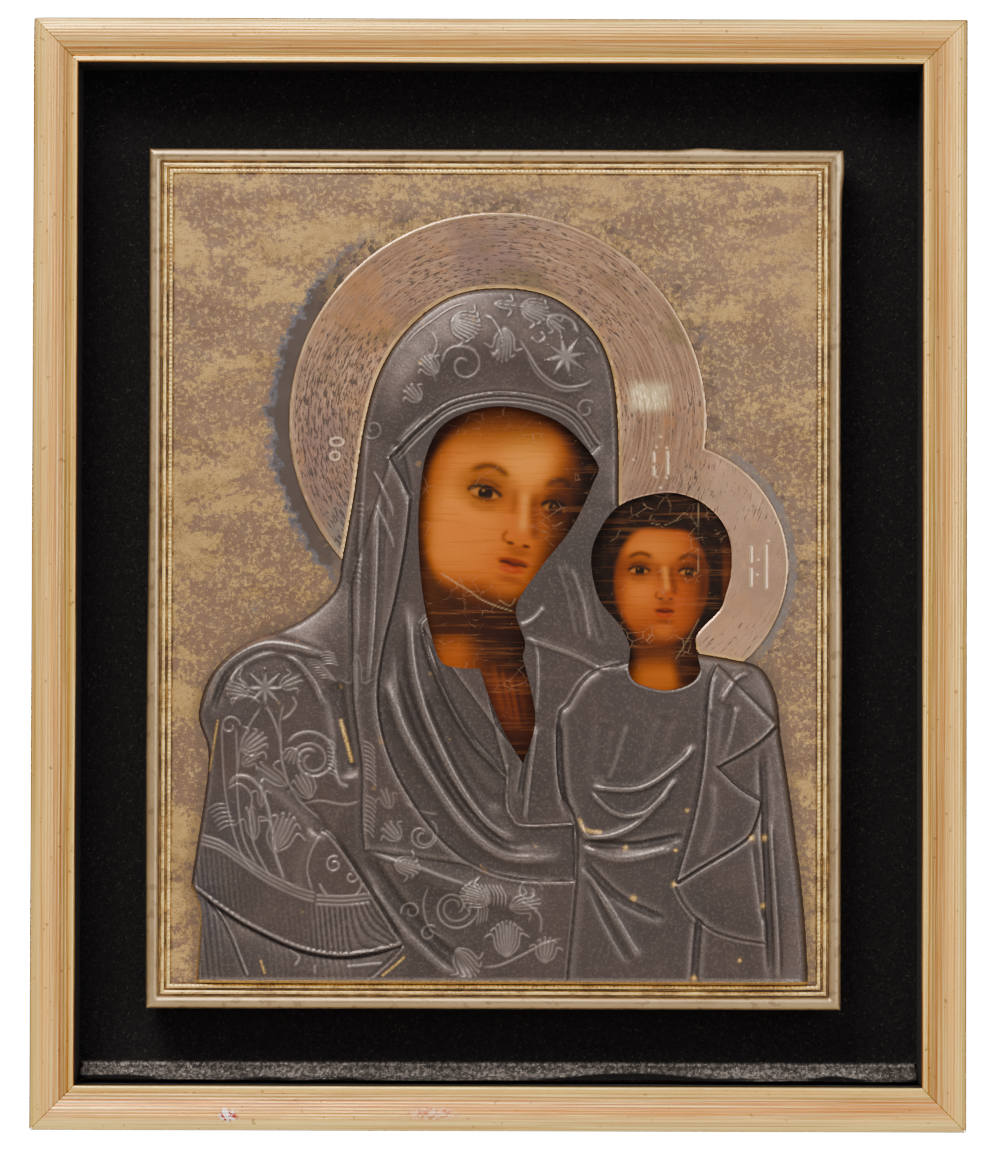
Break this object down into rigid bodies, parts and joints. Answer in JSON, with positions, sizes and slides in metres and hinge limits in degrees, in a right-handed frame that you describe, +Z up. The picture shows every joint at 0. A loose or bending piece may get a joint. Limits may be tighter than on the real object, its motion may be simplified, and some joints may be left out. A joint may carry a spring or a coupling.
{
  "type": "icon panel with metal cover in a shadow box frame",
  "caption": "Painted icon panel under a raised metal cover with window openings, in a black-lined gilt frame made to hang on a wall.",
  "frame": {"origin": "the hanging point: middle of the top rail's rear land, on the wall plane", "axes": "+Z up the picture, +X to the right seen from the front, +Y out of the back into the wall, so the front faces -Y"},
  "size_m": [0.2934, 0.0376, 0.349],
  "materials": {
    "gilt_frame": "gilt leaf over wood with fine reeds, rubbed to brown in the grooves",
    "black_strip": "black painted strip, matt, with a little dust",
    "backing_board": "plain brown fibre board",
    "black_cloth": "black short-pile cloth with dust on the sill",
    "painted_panel": "tempera and varnish with fine cracks on the front, bare wood behind",
    "tarnished_cover": "gilt silver pressed sheet, tarnished grey-brown on the robes and worn gold on the ground",
    "halo_sheet": "thin polished sheet, pinkish, with dark specks"
  },
  "bodies": {
    "root": {"frame_top": "gilt_frame", "frame_bottom": "gilt_frame", "frame_left": "gilt_frame", "frame_right": "gilt_frame", "spacer_top": "black_strip", "spacer_bottom": "black_strip", "spacer_left": "black_strip", "spacer_right": "black_strip", "backing_board": "backing_board", "backing_cloth": "black_cloth", "icon_panel": "painted_panel", "riza": "tarnished_cover", "halo": "halo_sheet"}
  },
  "joints": []
}
